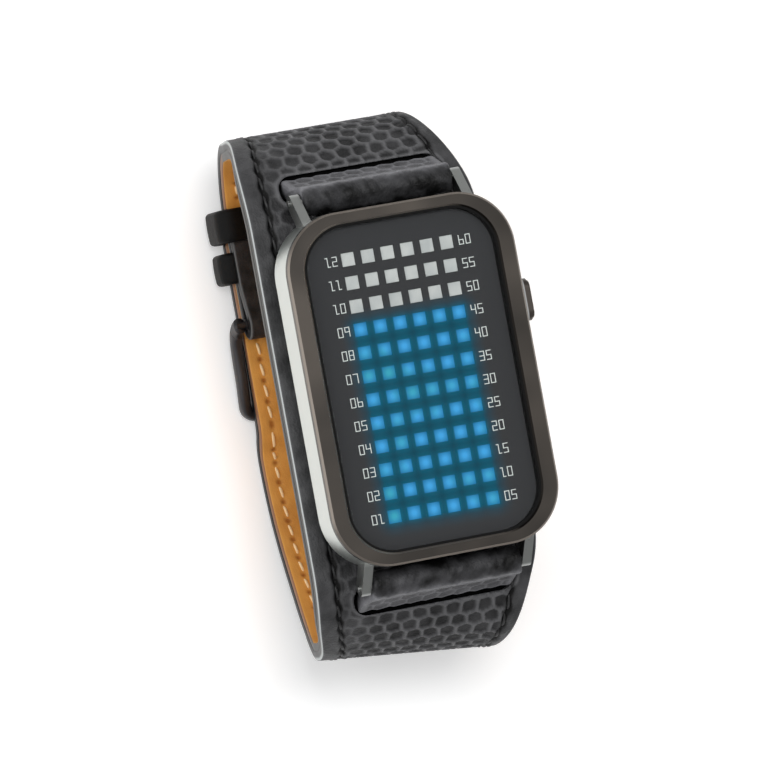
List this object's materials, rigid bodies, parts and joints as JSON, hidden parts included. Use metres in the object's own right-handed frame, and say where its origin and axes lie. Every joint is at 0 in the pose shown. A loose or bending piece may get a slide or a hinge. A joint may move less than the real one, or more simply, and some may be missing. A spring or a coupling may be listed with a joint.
{
  "type": "wristwatch",
  "caption": "Wristwatch with a rectangular steel case and a grid of square lights, on a wide black leather cuff with a tan lining, closed by a pin buckle.",
  "frame": {"origin": "centre of the crystal's outer face", "axes": "+Z out of the dial, +Y towards 12 o'clock, +X towards 3 o'clock, where the push button is. The closed cuff lies on its back, with its lowest line at Z = -49.9 mm"},
  "size_m": [0.0374, 0.0788, 0.05],
  "materials": {
    "case_steel": "brushed sides, satin lugs",
    "bezel_steel": "dark bronze-grey plating, satin",
    "crystal": "dark tint, glossy",
    "seal": "matt",
    "dial": "matt black",
    "light_on": "lit, blue with a teal edge",
    "light_off": "pale grey, unlit",
    "board": "green solder mask",
    "chip": "black",
    "tin": "plain",
    "frame_plastic": "natural white",
    "spring_brass": "plain",
    "sheet": "amber film",
    "back_steel": "circular satin",
    "button_steel": "dark satin",
    "bright_steel": "polished",
    "black_leather": "fine grain, satin",
    "tan_leather": "smooth, satin",
    "buckle_steel": "gunmetal, satin"
  },
  "bodies": {
    "watch": {"mid_case": "case_steel", "bezel": "bezel_steel", "crystal": "crystal", "crystal_gasket": "seal", "dial_plate": "dial", "lit_leds": "light_on", "unlit_leds": "light_off", "circuit_board": "board", "driver_chips": "chip", "quartz_can": "tin", "side_switch": "tin", "movement_frame": "frame_plastic", "coin_cells": "tin", "cell_contact": "spring_brass", "insulator_sheet": "sheet", "case_back": "back_steel", "back_gasket": "seal", "back_screws": "bright_steel", "button_collar": "bright_steel", "button_spring": "bright_steel", "button_seal": "seal", "spring_bars": "bright_steel", "spring_bar_tips": "bright_steel", "lug_strap_12": "black_leather", "lug_strap_6": "black_leather", "cuff_outer": "black_leather", "cuff_lining": "tan_leather", "fixed_keeper": "black_leather"},
    "button": {"button": "button_steel", "button_clip": "tin"},
    "buckle_frame": {"buckle_frame": "buckle_steel", "buckle_bar": "buckle_steel"},
    "prong": {"prong": "buckle_steel"},
    "free_keeper": {"free_keeper": "black_leather"}
  },
  "joints": [
    {"name": "button_press", "type": "slide", "parent": "watch", "child": "button", "axis": [-1, 0, 0], "range_m": [0, 0.0007], "stiffness_N_per_m": 1500, "deforming": ["button_spring"]},
    {"name": "buckle_swing", "type": "hinge", "parent": "watch", "child": "buckle_frame", "pos_m": [0, 0.0126, -0.04255], "axis": [1, 0, 0], "range_deg": [0, 8]},
    {"name": "prong_swing", "type": "hinge", "parent": "buckle_frame", "child": "prong", "pos_m": [0, 0.0126, -0.04255], "axis": [1, 0, 0], "range_deg": [0, 8]},
    {"name": "keeper_slide", "type": "slide", "parent": "watch", "child": "free_keeper", "axis": [0, 1, 0], "range_m": [-0.0012, 0.0005]}
  ]
}
